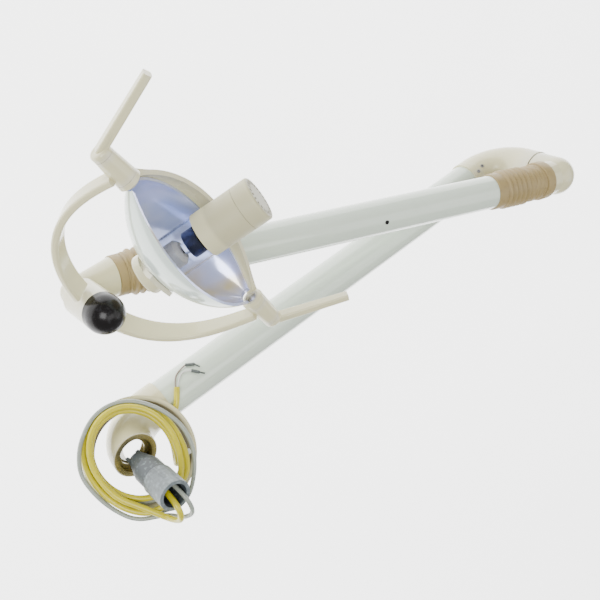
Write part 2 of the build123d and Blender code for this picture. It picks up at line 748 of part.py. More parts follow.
with BuildPart() as rear_boss:
    with BuildSketch(lamp_level(boss_back)):
        Circle(20.5)
    extrude(amount=30)
    fillet(rear_boss.edges().group_by(Axis(pivot, lamp_dir))[0], 3)
    with BuildSketch(lamp_level(boss_back + 3)):
        Circle(12)
    extrude(amount=40, mode=Mode.SUBTRACT)
    with BuildSketch(around_pivot(0)):
        with BuildLine():
            dome = ThreePointArc((-mirror_arc_x(frame_out, 0), 0), (0, mirror_bulge + frame_out),
                                 (mirror_arc_x(frame_out, 0), 0))
            Line(dome @ 1, dome @ 0)
        make_face()
    revolve(axis=pivot_axis, mode=Mode.SUBTRACT)
rear_boss.part.label = "rear_boss"
export_step(rear_boss.part, "parts/rear_boss.step")


def lamp_turning(name, points):
    """A piece turned about the lamp's axis from its half section of (radius, height) points."""
    side_plane = Plane(origin=lamp_level(0).origin, x_dir=pivot_dir, z_dir=pivot_dir.cross(lamp_dir))
    with BuildPart() as turned:
        with BuildSketch(side_plane):
            with BuildLine():
                Polyline(*points, close=True)
            make_face()
        revolve(axis=Axis(lamp_level(0).origin, lamp_dir))
    turned.part.label = name
    export_step(turned.part, f"parts/{name}.step")


glass_r = 21.5
lamp_r = lamp_od / 2 + 0.5
lamp_turning("lamp_base", [(0, boss_back + 3), (12, boss_back + 3), (12, -41), (19.4, -41), (19.4, -36),
                           (0, -36)])
lamp_turning("lamp_holder", [(0, -36), (11, -36), (13, -34), (13, -18), (9, -14), (5, -14), (5, -24),
                             (0, -24)])
lamp_turning("halogen_bulb", [(0, -24), (4.8, -24), (4.8, -14), (6.5, -10), (6.5, 0), (4, 5), (0, 6.5)])
lamp_turning("glass_tube", [(glass_r - 2, -41), (glass_r, -41), (glass_r, 19), (glass_r - 2, 19)])
lamp_turning("bulb_shield", [(0, 9), (12, 9), (13.5, 7), (13.5, -6), (12.5, -6), (12.5, 6), (0, 8)])
lamp_turning("lamp_housing", [(0, 16), (14, 16), (14, 13), (glass_r - 2.1, 13), (glass_r - 2.1, 19.1),
                              (glass_r + 0.1, 19.1), (glass_r + 0.1, 11), (lamp_r, 11), (lamp_r, 57),
                              (lamp_r - 2.5, 57), (lamp_r - 2.5, 23), (0, 23)])

cap_from = 57.3
cap_top = 75.0

with BuildPart() as vent_cap:
    with BuildSketch(lamp_level(cap_from)):
        Circle(lamp_r)
    extrude(amount=cap_top - cap_from)
    fillet(vent_cap.edges().group_by(Axis(pivot, lamp_dir))[-1], 2.5)
    with BuildSketch(lamp_level(cap_from)):
        Circle(lamp_r - 3.5)
    extrude(amount=cap_top - cap_from - 2.5, mode=Mode.SUBTRACT)
    with BuildSketch(lamp_level(cap_from - 6)):
        Circle(lamp_r - 2.6)
        Circle(lamp_r - 4.6, mode=Mode.SUBTRACT)
    extrude(amount=8)
    with BuildSketch(lamp_level(cap_top - 3)):
        with PolarLocations(17, 22):
            SlotOverall(5, 2.2)
    extrude(amount=4, mode=Mode.SUBTRACT)
vent_cap.part.label = "vent_cap"
export_step(vent_cap.part, "parts/vent_cap.step")


def head_handle(name, shaft_name, side):
    outward = pivot_dir * side
    seat = Plane(origin=pivot + outward * (pivot_half + boss_len + gap), x_dir=lamp_dir, z_dir=outward)
    bar_dir = lamp_dir * cos(radians(handle_splay)) + outward * sin(radians(handle_splay))
    bar_base = seat.origin + outward * 4.5
    with BuildPart() as handle:
        with BuildSketch(seat):
            Circle(boss_end_r)
        extrude(amount=7)
        fillet(handle.edges().group_by(Axis(pivot, outward))[-1], 3)
        with BuildSketch(Plane(origin=bar_base, x_dir=lamp_side, z_dir=bar_dir)):
            RectangleRounded(11, 8.6, 2)
        with BuildSketch(Plane(origin=bar_base + bar_dir * handle_len, x_dir=lamp_side, z_dir=bar_dir)):
            RectangleRounded(9, 8, 2)
        loft()
        with BuildSketch(seat):
            Circle(shaft_r)
        extrude(amount=4.5, mode=Mode.SUBTRACT)
    handle.part.label = name
    export_step(handle.part, f"parts/{name}.step")
    with BuildPart() as shaft:
        with BuildSketch(Plane(origin=pivot + outward * 96.5, x_dir=lamp_dir, z_dir=outward)):
            Circle(shaft_r)
        extrude(amount=pivot_half + boss_len + gap + 4.5 - 96.5)
    shaft.part.label = shaft_name
    export_step(shaft.part, f"parts/{shaft_name}.step")


head_handle("handle_left", "pivot_shaft_left", 1)
head_handle("handle_right", "pivot_shaft_right", -1)

# ---------------------------------------------------------------- rubber bellows over the hinges


boot_wall = 1.3
boot_r = 23.5             # smooth part
ridge_high = 25.4
ridge_low = 22.6
ridge_pitch = 7.8
cuff_r = spring_od / 2 + 0.05
arm_side = Plane(origin=hinge_a, x_dir=hinge_dir, z_dir=hinge_dir.cross(arm_dir))


def ridges(start, count, step):
    """Zigzag of (radius, place) points, one peak and one valley for each ridge."""
    points = []
    for number in range(count):
        points.append((ridge_low, start + number * step))
        points.append((ridge_high, start + (number + 0.35) * step))
        points.append((ridge_high, start + (number + 0.6) * step))
    points.append((ridge_low, start + count * step))
    return points


def boot(name, cuff_from, cuff_to, count, step, hinge, ring_from, ring_to, ring_bore, ring_out):
    """Rubber boot: cuff on the arm's tube, ridges, smooth bend at the hinge, ring on the knuckle."""
    zigzag = ridges(cuff_to, count, step)
    bend_from = zigzag[-1][1]
    inside = [(radius - boot_wall, place) for radius, place in reversed(zigzag)]
    sense = 1 if step > 0 else -1
    with BuildPart() as rubber:
        with BuildSketch(arm_side):
            with BuildLine():
                Polyline((cuff_r, cuff_from), (cuff_r + 1.7, cuff_from), (cuff_r + 1.7, cuff_to),
                         *zigzag, *inside, (cuff_r, cuff_to), close=True)
            make_face()
        revolve(axis=Axis(hinge_a, arm_dir))
        with BuildLine() as bend:
            bend_start = hinge_a + arm_dir * (bend_from - sense * 0.2)
            bend_end = hinge + toward_head * (sense * ring_from)
            bend_run = min((hinge - bend_start).length, (bend_end - hinge).length)
            FilletPolyline(bend_start, hinge, bend_end, radius=0.45 * bend_run / tan(radians(droop / 2)))
        with BuildSketch(Plane(origin=bend_start, z_dir=bend.wire() % 0)):
            Circle(boot_r)
            Circle(ridge_low - boot_wall, mode=Mode.SUBTRACT)
        sweep(path=bend.wire())
        with BuildSketch(Plane(origin=hinge + toward_head * (sense * ring_from), z_dir=toward_head)):
            Circle(ring_out)
            Circle(ring_bore, mode=Mode.SUBTRACT)
        extrude(amount=sense * (ring_to - ring_from))
    rubber.part.label = name
    export_step(rubber.part, f"parts/{name}.step")


boot("proximal_bellows", 68, 53, 5, -ridge_pitch, hinge_a, 12.5, 28, knuckle_r - 2.95, 25.6)
boot("distal_bellows", 510, 525, 5, ridge_pitch, hinge_b, 5, 12.8, collar_r + 0.05, 22.4)

# ---------------------------------------------------------------- free cables
coil_plane = Plane(origin=(6, 4, -8), x_dir=(1, 0, 0), z_dir=dish_up)


def loose_coil(name, low, high, out_x, out_y, in_x, in_y):
    """Closed ring round the loose turns of one cable, as they lie on the rosette's rim."""
    with BuildPart() as coil:
        with BuildSketch(coil_plane.offset(low)):
            with Locations((-9, -12)):
                Ellipse(out_x, out_y)
            with Locations((-7, -5)):
                Ellipse(in_x, in_y, mode=Mode.SUBTRACT)
        extrude(amount=high - low)
        fillet(coil.edges(), 2.0)
    coil.part.label = name
    export_step(coil.part, f"parts/{name}.step")


loose_coil("grey_coil", 2.2, 7.2, 56, 72, 45, 47)
loose_coil("yellow_coil", 7.4, 19.6, 54, 67, 41, 47)


def cable(name, diameter, points):
    """Round cable: straight runs joined by tangent arcs."""
    route = [Vector(point) for point in points]
    radii = []
    for before, here, after in zip(route, route[1:], route[2:]):
        arriving = here - before
        leaving = after - here
        half_turn = radians(arriving.get_angle(leaving)) / 2
        radii.append(0.45 * min(arriving.length, leaving.length) / tan(half_turn))
    with BuildPart() as tube:
        with BuildLine() as run:
            FilletPolyline(*route, radius=radii)
        with BuildSketch(Plane(origin=run.wire() @ 0, z_dir=run.wire() % 0)):
            Circle(diameter / 2)
        sweep(path=run.wire())
    section = pi * diameter ** 2 / 4
    print(name, "bend radii", [round(value, 1) for value in radii], "length",
          round(run.wire().length, 1), "filled", round(tube.part.volume / section / run.wire().length, 3))
    tube.part.label = name
    export_step(tube.part, f"parts/{name}.step")


def on_arm(x, turn, height):
    """Point over the rigid arm's tube, turned from its top towards +Y."""
    reach = tube_od / 2 + height
    return Vector(x, reach * sin(radians(turn)), arm_z + reach * cos(radians(turn)))


wire_d = 1.8
wire_lift = wire_d / 2 + 0.5
tail_lift = yellow_d / 2 + 0.9
ferrule_d = 3.8
ferrule_lift = ferrule_d / 2 + 0.35

yellow_route = [(-5, -3, 66), (-6, -6, 96), (-8, -32, 95), (-13, -37, 70), (-20.5, -32, 51.5)]
grey_route = [(4, 1, 66), (6, -3, 95), (7, -34, 96), (-2, -51, 73), (-5, -52, 54.5)]
tail_route = [coil_plane.from_local_coords(point) for point in
              ((25, -44, 9), (31, -38, -2), (38, -24, -11), (42, -6, -13))]
tail_route += [on_arm(67.5, -4, tail_lift + 1.6), on_arm(78.6, 22, tail_lift + 0.3),
               on_arm(86, 44, tail_lift)]
brown_route = [on_arm(85.3, 46, yellow_d / 2), on_arm(91.7, 68.4, wire_lift),
               on_arm(102.5, 80, wire_lift), on_arm(112.3, 81, ferrule_lift)]
white_route = [on_arm(87.0, 43, yellow_d / 2), on_arm(95.8, 61, wire_lift),
               on_arm(105, 71, wire_lift + 0.2), on_arm(112.8, 57, ferrule_lift)]
earth_route = [dish_plane.from_local_coords(point) for point in
               ((40, -30, -3.9), (43.5, -17, -4.2), (42, -3, -4.6), (40, 9, -6), (38, 18, -8))]
ferrule_ends = [(on_arm(112.3, 81, ferrule_lift), on_arm(120.6, 67, ferrule_lift), on_arm(124.3, 53, 1.2)),
                (on_arm(112.8, 57, ferrule_lift), on_arm(119, 42, ferrule_lift), on_arm(124.2, 31, 1.2))]

cable("yellow_lead", yellow_d, yellow_route)
cable("grey_lead", grey_d, grey_route)
cable("yellow_tail", yellow_d, tail_route)
cable("brown_wire", wire_d, brown_route)
cable("white_wire", wire_d, white_route)
cable("earth_wire", 1.4, earth_route)

with BuildPart() as wire_ferrules:
    for collar, middle, tip in ferrule_ends:
        collar_dir = middle - collar
        tip_dir = tip - middle
        with BuildSketch(Plane(origin=collar, z_dir=collar_dir)):
            Circle(ferrule_d / 2)
        extrude(amount=collar_dir.length)
        with BuildSketch(Plane(origin=middle, z_dir=tip_dir)):
            Circle(0.9)
        extrude(amount=tip_dir.length)
        with Locations(middle):
            Sphere(1.5)
wire_ferrules.part.label = "wire_ferrules"
export_step(wire_ferrules.part, "parts/wire_ferrules.step")
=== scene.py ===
import json
import math
import bmesh
import bpy
from mathutils import Matrix, Vector


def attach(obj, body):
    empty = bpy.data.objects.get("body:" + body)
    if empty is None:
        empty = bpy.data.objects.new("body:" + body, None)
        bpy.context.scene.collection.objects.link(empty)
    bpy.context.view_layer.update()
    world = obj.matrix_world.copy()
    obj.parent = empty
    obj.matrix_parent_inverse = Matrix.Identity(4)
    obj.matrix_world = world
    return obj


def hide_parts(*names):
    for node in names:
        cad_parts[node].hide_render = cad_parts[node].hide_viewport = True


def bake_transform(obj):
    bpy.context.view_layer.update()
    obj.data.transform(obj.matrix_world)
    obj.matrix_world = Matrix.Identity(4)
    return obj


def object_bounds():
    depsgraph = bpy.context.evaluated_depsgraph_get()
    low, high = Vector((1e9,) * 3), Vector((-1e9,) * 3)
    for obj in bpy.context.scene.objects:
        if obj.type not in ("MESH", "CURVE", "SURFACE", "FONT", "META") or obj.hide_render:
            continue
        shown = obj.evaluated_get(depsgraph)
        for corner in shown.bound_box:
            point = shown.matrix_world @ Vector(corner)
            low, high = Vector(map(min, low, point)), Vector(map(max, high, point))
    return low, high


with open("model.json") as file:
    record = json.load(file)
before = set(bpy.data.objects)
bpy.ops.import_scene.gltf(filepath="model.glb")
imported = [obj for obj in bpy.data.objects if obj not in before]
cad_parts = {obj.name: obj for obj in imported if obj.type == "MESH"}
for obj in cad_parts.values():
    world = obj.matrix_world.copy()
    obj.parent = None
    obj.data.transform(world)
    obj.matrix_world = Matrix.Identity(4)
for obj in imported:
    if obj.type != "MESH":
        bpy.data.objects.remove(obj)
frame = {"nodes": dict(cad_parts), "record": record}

cad_box = [list(map(float, corner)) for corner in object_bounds()]
MM = 0.001


def v(x, y, z):
    """A place given in millimetres, in metres."""
    return Vector((x * MM, y * MM, z * MM))


# ------------------------------------------------------------------ camera
cam_data = bpy.data.cameras.new("camera")
cam_data.lens = 53.1
cam_data.sensor_width = 36.0
cam = bpy.data.objects.new("camera", cam_data)
look = Vector((0.38942, -0.56733, -0.72560))
cam_up = Vector((0.53829, 0.77943, -0.32052))
cam_right = look.cross(cam_up)
cam.matrix_world = Matrix.Translation((-0.155706, 0.651800, 0.779338)) @ Matrix(
    (cam_right, cam_up, -look)).transposed().to_4x4()
bpy.context.scene.collection.objects.link(cam)
bpy.context.scene.camera = cam

# ------------------------------------------------------------------ places shared with the solid model
UP = Vector((0, 0, 1))
FOLD = math.radians(18.0)
DROOP = math.radians(7.8)
toward_head = Vector((-math.cos(FOLD), math.sin(FOLD), 0))
hinge_dir = -toward_head.cross(UP)
arm_dir = toward_head * math.cos(DROOP) - UP * math.sin(DROOP)
arm_up = arm_dir.cross(hinge_dir)
if arm_up.z < 0:
    arm_up = -arm_up
hinge_a = v(674, 0, 53) + toward_head * 0.056
hinge_b = hinge_a + arm_dir * 0.569
hub_xy = hinge_b + toward_head * 0.060
fork_dir = Vector((math.cos(math.radians(21.2)), math.sin(math.radians(21.2)), 0))
pivot_dir = UP.cross(fork_dir)
pivot = Vector((hub_xy.x, hub_xy.y, 0.0996)) + fork_dir * 0.1023
lamp_dir = fork_dir * math.cos(math.radians(29)) + UP * math.sin(math.radians(29))
lamp_centre = pivot - lamp_dir.cross(pivot_dir) * 0.004
mirror_dir = fork_dir * math.cos(math.radians(51)) + UP * math.sin(math.radians(51))
dish_up = Vector((0, math.sin(math.radians(44)), math.cos(math.radians(44))))
dish_b = dish_up.cross(Vector((1, 0, 0)))
coil_centre = v(6, 4, -8)
dish_centre = v(6, -1.2, -1.6)
arm_axis_z = -52.0


def on_arm(x, turn, height):
    """Point over the rigid arm's tube, turned from its top towards +Y."""
    reach = 25.0 + height
    return v(x, reach * math.sin(math.radians(turn)), arm_axis_z + reach * math.cos(math.radians(turn)))


def on_coil(x, along, lift):
    return coil_centre + Vector((1, 0, 0)) * (x * MM) + dish_b * (along * MM) + dish_up * (lift * MM)


def on_dish(x, along, lift):
    return dish_centre + Vector((1, 0, 0)) * (x * MM) + dish_b * (along * MM) + dish_up * (lift * MM)


# ------------------------------------------------------------------ free cables
def smooth(a, b, t):
    s = min(1.0, max(0.0, (t - a) / (b - a)))
    return s * s * (3 - 2 * s)


def turn_point(t, aside, lift):
    """Point of a loose turn. t runs from the bottom of the coil over its left side; aside is the
    distance out from the innermost turn, lift the height over the rosette's rim plane."""
    a = math.radians(t)
    low = max(0.0, math.cos(a)) ** 2
    grow = aside * (1.0 + 1.15 * low)
    reach_x = 45.2 + grow
    reach_b = 51.3 + grow + 3.0 * low
    x = -8.0 - reach_x * math.sin(a)
    b = -6.0 - reach_b * math.cos(a)
    return on_coil(x, b, lift)


def lay_turns(start, stop, step, slot):
    """Route points of the turns between two travelled angles; slot gives (aside, lift) for an angle."""
    points = []
    count = int(round((stop - start) / step))
    for i in range(count + 1):
        t = start + (stop - start) * i / count
        aside, lift = slot(t)
        points.append(turn_point(t, aside, lift))
    return points


def yellow_slot(t):
    """The first turn lies on top; the other two lie side by side under it."""
    aside, lift = 4.2, 18.4
    aside += 1.7 * (smooth(290, 335, t) - smooth(50, 90, t))
    down = smooth(340, 382, t)
    aside += down * (8.6 - 4.2)
    lift += down * (11.2 - 18.4)
    inward = smooth(680, 725, t)
    aside += inward * (0.0 - 8.6)
    wave = math.sin(math.radians(t * 2.0 + 40))
    return aside + 0.5 * wave * (1 if t < 340 else 0), lift


def grey_slot(t):
    """The first turn climbs over the yellow ones on the left and drops back outside them."""
    climb = smooth(60, 100, t) - smooth(285, 330, t)
    inward = smooth(100, 145, t) - smooth(240, 285, t)
    aside = 13.0 + 4.0 * climb - 7.5 * inward
    lift = 4.75 + 12.9 * climb
    aside += smooth(342, 384, t) * (7.4 - 13.0)
    aside += smooth(655, 700, t) * (1.9 - 7.4)
    return aside, lift


def cable(name, points, diameter, nodes):
    data = bpy.data.curves.new(name, "CURVE")
    data.dimensions = "3D"
    spline = data.splines.new("NURBS")
    spline.points.add(len(points) - 1)
    for point, place in zip(spline.points, points):
        point.co = (place[0], place[1], place[2], 1.0)
        point.radius = diameter / 2
    spline.order_u = 3
    spline.use_endpoint_u = True
    spline.resolution_u = 8
    data.bevel_depth = 1.0    # times each point's radius
    data.bevel_resolution = 7
    data.use_fill_caps = True
    piece = bpy.data.objects.new(name, data)
    bpy.context.scene.collection.objects.link(piece)
    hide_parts(*nodes)
    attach(piece, "base_arm")
    return piece


yellow_lead = [v(-5, -3, 66), v(-6, -6, 96), v(-8, -32, 95), v(-12, -43, 76), v(-17, -43, 62)]
yellow_tail = [on_coil(28, -42, 8), on_coil(25, -45, -2), on_coil(31, -37, -11), on_coil(39, -22, -14),
               on_coil(42, -6, -13),
               on_arm(67.5, -4, 6.0), on_arm(78.6, 22, 4.7), on_arm(86, 44, 4.4)]
yellow_points = yellow_lead + lay_turns(34, 1013, 21.7, yellow_slot) + yellow_tail
grey_lead = [v(4, 1, 66), v(6, -3, 95), v(7, -34, 96), v(-2, -50, 75), v(-7, -51, 62), v(-16, -48, 54)]
grey_points = grey_lead + lay_turns(36, 1010, 22.2, grey_slot)

yellow_cable = cable("yellow_cable", yellow_points, 0.007,
                     ("yellow_lead", "yellow_coil", "yellow_tail"))
grey_cable = cable("grey_cable", grey_points, 0.005, ("grey_lead", "grey_coil"))
brown_points = [on_arm(85.3, 46, 3.5), on_arm(91.7, 68.4, 1.4), on_arm(102.5, 80, 1.4), on_arm(112.3, 81, 2.25)]
white_points = [on_arm(87.0, 43, 3.5), on_arm(95.8, 61, 1.4), on_arm(105, 71, 1.6), on_arm(112.8, 57, 2.25)]
earth_points = [on_dish(40, -30, -3.9), on_dish(43.5, -17, -4.2), on_dish(42, -3, -4.6), on_dish(40, 9, -6),
                on_dish(38, 18, -8)]
brown_wire = cable("brown_lead_wire", brown_points, 0.0018, ("brown_wire",))
white_wire = cable("white_lead_wire", white_points, 0.0018, ("white_wire",))
earth_lead = cable("earth_lead_wire", earth_points, 0.0014, ("earth_wire",))

# ------------------------------------------------------------------ materials
def new_material(name):
    m = bpy.data.materials.new(name)
    m.use_nodes = True
    return m, m.node_tree, m.node_tree.nodes["Principled BSDF"]


def noise(tree, scale, detail=3.0, stretch=None, rough=0.5):
    n = tree.nodes.new("ShaderNodeTexNoise")
    n.inputs["Scale"].default_value = scale
    n.inputs["Detail"].default_value = detail
    n.inputs["Roughness"].default_value = rough
    coord = tree.nodes.new("ShaderNodeTexCoord")
    if stretch:
        mapping = tree.nodes.new("ShaderNodeMapping")
        mapping.inputs["Scale"].default_value = stretch
        tree.links.new(coord.outputs["Object"], mapping.inputs["Vector"])
        tree.links.new(mapping.outputs["Vector"], n.inputs["Vector"])
    else:
        tree.links.new(coord.outputs["Object"], n.inputs["Vector"])
    return n


def ramp(tree, source, stops):
    r = tree.nodes.new("ShaderNodeValToRGB")
    while len(r.color_ramp.elements) < len(stops):
        r.color_ramp.elements.new(0.5)
    for element, (place, colour) in zip(r.color_ramp.elements, stops):
        element.position = place
        element.color = (*colour, 1.0) if len(colour) == 3 else colour
    tree.links.new(source, r.inputs["Fac"])
    return r


def mix(tree, fac, a, b, kind="MIX"):
    m = tree.nodes.new("ShaderNodeMix")
    m.data_type = "RGBA"
    m.blend_type = kind
    if isinstance(fac, float):
        m.inputs["Factor"].default_value = fac
    else:
        tree.links.new(fac, m.inputs["Factor"])
    for socket, value in ((m.inputs[6], a), (m.inputs[7], b)):
        if isinstance(value, tuple):
            socket.default_value = (*value, 1.0)
        else:
            tree.links.new(value, socket)
    return m.outputs[2]


def shade(colour, k):
    return tuple(min(1.0, c * k) for c in colour)


def bump(tree, bsdf, sources):
    """Bump nodes in a chain: (height output, strength, distance) for each."""
    last = None
    for height, strength, distance in sources:
        b = tree.nodes.new("ShaderNodeBump")
        b.inputs["Strength"].default_value = strength
        b.inputs["Distance"].default_value = distance
        tree.links.new(height, b.inputs["Height"])
        if last:
            tree.links.new(last.outputs["Normal"], b.inputs["Normal"])
        last = b
    tree.links.new(last.outputs["Normal"], bsdf.inputs["Normal"])


def surface(name, colour, rough=0.3, metallic=0.0, coat=0.0, tint=None, blotch=14.0, blotch_depth=0.08,
            grain=900.0, grain_depth=0.05, rough_spread=0.08, stretch=None, hollow_shade=0.35, wear=None):
    """Finish with broad colour variation, fine grain, uneven gloss, painted shade darkening the hollows, and
    worn edges.
    """
    m, tree, bsdf = new_material(name)
    broad = noise(tree, blotch, 4.0)
    second = tint or shade(colour, 0.9)
    low = ramp(tree, broad.outputs["Fac"], [(0.3, shade(colour, 1.0 - blotch_depth)), (0.7, colour)])
    speck = noise(tree, blotch * 9, 6.0)
    speck_mask = ramp(tree, speck.outputs["Fac"], [(0.56, (0, 0, 0)), (0.72, (1, 1, 1))])
    base = mix(tree, speck_mask.outputs["Color"], low.outputs["Color"], second)
    geo = tree.nodes.new("ShaderNodeNewGeometry")
    # Hollows found by pointiness are blended towards a dark copy of the colour: painted shade in creases and
    # recesses.
    hollow_shade_mask = ramp(tree, geo.outputs["Pointiness"], [(0.40, (1, 1, 1)), (0.49, (0, 0, 0))])
    hollow_shade_amount = tree.nodes.new("ShaderNodeMath")
    hollow_shade_amount.operation = "MULTIPLY"
    hollow_shade_amount.inputs[1].default_value = hollow_shade
    tree.links.new(hollow_shade_mask.outputs["Color"], hollow_shade_amount.inputs[0])
    base = mix(tree, hollow_shade_amount.outputs[0], base, shade(colour, 0.45))
    if wear:
        edge = ramp(tree, geo.outputs["Pointiness"], [(0.53, (0, 0, 0)), (0.60, (1, 1, 1))])
        rub = tree.nodes.new("ShaderNodeMath")
        rub.operation = "MULTIPLY"
        tree.links.new(edge.outputs["Color"], rub.inputs[0])
        tree.links.new(speck.outputs["Fac"], rub.inputs[1])
        base = mix(tree, rub.outputs[0], base, wear)
    tree.links.new(base, bsdf.inputs["Base Color"])
    bsdf.inputs["Metallic"].default_value = metallic
    bsdf.inputs["Coat Weight"].default_value = coat
    bsdf.inputs["Coat Roughness"].default_value = 0.08
    fine = noise(tree, grain, 2.0, stretch)
    r = tree.nodes.new("ShaderNodeMapRange")
    r.inputs["To Min"].default_value = max(0.02, rough - rough_spread)
    r.inputs["To Max"].default_value = min(1.0, rough + rough_spread)
    tree.links.new(broad.outputs["Fac"], r.inputs["Value"])
    tree.links.new(r.outputs["Result"], bsdf.inputs["Roughness"])
    bump(tree, bsdf, [(broad.outputs["Fac"], 0.12, 0.0006), (fine.outputs["Fac"], grain_depth, 0.0002)])
    return m, tree, bsdf


def glassy(name, colour, rough, ior, weight, tint_edge):
    m, tree, bsdf = new_material(name)
    smear = noise(tree, 40.0, 4.0)
    tone = ramp(tree, smear.outputs["Fac"], [(0.35, colour), (0.7, tint_edge)])
    tree.links.new(tone.outputs["Color"], bsdf.inputs["Base Color"])
    bsdf.inputs["Transmission Weight"].default_value = weight
    bsdf.inputs["IOR"].default_value = ior
    r = tree.nodes.new("ShaderNodeMapRange")
    r.inputs["To Min"].default_value = rough * 0.5
    r.inputs["To Max"].default_value = rough * 1.8
    tree.links.new(smear.outputs["Fac"], r.inputs["Value"])
    tree.links.new(r.outputs["Result"], bsdf.inputs["Roughness"])
    return m


mats = {}
CREAM = (0.66, 0.62, 0.38)
WHITE = (0.62, 0.70, 0.59)
mats["cream_enamel"] = surface("cream_enamel", CREAM, 0.26, 0, 0.5, shade(CREAM, 0.93), 11, 0.06, 700, 0.05,
                               0.07, None, 0.45, (0.62, 0.60, 0.52))[0]
mats["white_enamel"] = surface("white_enamel", WHITE, 0.16, 0, 0.8, shade(WHITE, 0.95), 7, 0.05, 600, 0.03,
                               0.05, None, 0.3, None)[0]
mats["yellow_zinc"] = surface("yellow_zinc", (0.30, 0.26, 0.12), 0.30, 0.9, 0, (0.42, 0.34, 0.12), 60, 0.35,
                              500, 0.12, 0.12, (1, 1, 14), 0.5, (0.55, 0.48, 0.28))[0]
mats["grey_plastic"] = surface("grey_plastic", (0.050, 0.062, 0.070), 0.42, 0, 0, (0.17, 0.21, 0.22), 25, 0.12,
                               1500, 0.18, 0.08, None, 0.4, (0.25, 0.29, 0.30))[0]
mats["black_plastic"] = surface("black_plastic", (0.006, 0.005, 0.005), 0.22, 0, 0.0, (0.02, 0.02, 0.022), 20,
                                0.2, 900, 0.02, 0.04, None, 0.1, None)[0]
black_bsdf = mats["black_plastic"].node_tree.nodes["Principled BSDF"]
black_bsdf.inputs["Specular IOR Level"].default_value = 0.25
mats["steel"] = surface("steel", (0.50, 0.50, 0.51), 0.28, 1.0, 0, (0.42, 0.42, 0.43), 50, 0.2, 420, 0.12, 0.1,
                        (1, 1, 18), 0.5, None)[0]
mats["bronze"] = surface("bronze", (0.52, 0.36, 0.16), 0.33, 1.0, 0, (0.42, 0.30, 0.14), 60, 0.2, 500, 0.1,
                         0.1, None, 0.5, None)[0]
mats["friction_pad"] = surface("friction_pad", (0.05, 0.045, 0.04), 0.8, 0, 0, (0.10, 0.09, 0.07), 120, 0.4,
                               900, 0.5, 0.1, None, 0.3, None)[0]
mats["spring_steel"] = surface("spring_steel", (0.20, 0.20, 0.21), 0.3, 1.0, 0, (0.14, 0.12, 0.10), 70, 0.3,
                               600, 0.1, 0.1, None, 0.4, None)[0]
mats["cast_alloy"] = surface("cast_alloy", (0.55, 0.56, 0.58), 0.4, 1.0, 0, (0.45, 0.46, 0.48), 40, 0.2, 500,
                             0.3, 0.1, None, 0.4, None)[0]
mats["ceramic"] = surface("ceramic", (0.62, 0.60, 0.55), 0.55, 0, 0, (0.5, 0.46, 0.4), 60, 0.15, 900, 0.25,
                          0.1, None, 0.3, None)[0]
mats["dark_chrome"] = surface("dark_chrome", (0.045, 0.052, 0.095), 0.2, 1.0, 0, (0.03, 0.035, 0.07), 12, 0.3,
                              300, 0.05, 0.06, None, 0.2, None)[0]
mats["tan_rubber"] = surface("tan_rubber", (0.32, 0.235, 0.095), 0.5, 0, 0, (0.25, 0.18, 0.075), 30, 0.16, 1200,
                             0.35, 0.1, None, 0.8, (0.50, 0.41, 0.21))[0]
mats["yellow_sheath"] = surface("yellow_sheath", (0.58, 0.51, 0.01), 0.33, 0, 0.15, (0.46, 0.38, 0.01), 35,
                                0.16, 900, 0.1, 0.08, None, 0.3, None)[0]
mats["grey_sheath"] = surface("grey_sheath", (0.30, 0.33, 0.28), 0.36, 0, 0.1, (0.22, 0.25, 0.21), 35, 0.14,
                              900, 0.1, 0.08, None, 0.3, None)[0]
mats["wire_brown"] = surface("wire_brown", (0.24, 0.19, 0.15), 0.4, 0, 0, (0.3, 0.24, 0.2), 60, 0.1)[0]
mats["wire_white"] = surface("wire_white", (0.62, 0.62, 0.58), 0.4, 0, 0, (0.5, 0.5, 0.46), 60, 0.1)[0]
mats["wire_green"] = surface("wire_green", (0.42, 0.44, 0.10), 0.4, 0, 0, (0.3, 0.36, 0.1), 60, 0.1)[0]
mats["ferrule_grey"] = surface("ferrule_grey", (0.075, 0.09, 0.085), 0.45, 0, 0, (0.1, 0.12, 0.11), 60, 0.2)[0]
mats["lamp_glass"] = glassy("lamp_glass", (0.97, 0.98, 0.99), 0.015, 1.2, 1.0, (0.92, 0.95, 0.99))
mats["clip_plastic"] = surface("clip_plastic", (0.74, 0.77, 0.72), 0.4, 0, 0, (0.66, 0.7, 0.66), 60, 0.08)[0]


def facing(tree, centre):
    """Cosine between a surface's own normal and the way out from centre, both in the part's space."""
    coord = tree.nodes.new("ShaderNodeTexCoord")
    out = tree.nodes.new("ShaderNodeVectorMath")
    out.operation = "SUBTRACT"
    out.inputs[1].default_value = centre
    tree.links.new(coord.outputs["Object"], out.inputs[0])
    unit = tree.nodes.new("ShaderNodeVectorMath")
    unit.operation = "NORMALIZE"
    tree.links.new(out.outputs["Vector"], unit.inputs[0])
    dot = tree.nodes.new("ShaderNodeVectorMath")
    dot.operation = "DOT_PRODUCT"
    tree.links.new(unit.outputs["Vector"], dot.inputs[0])
    tree.links.new(coord.outputs["Normal"], dot.inputs[1])
    return dot.outputs["Value"]


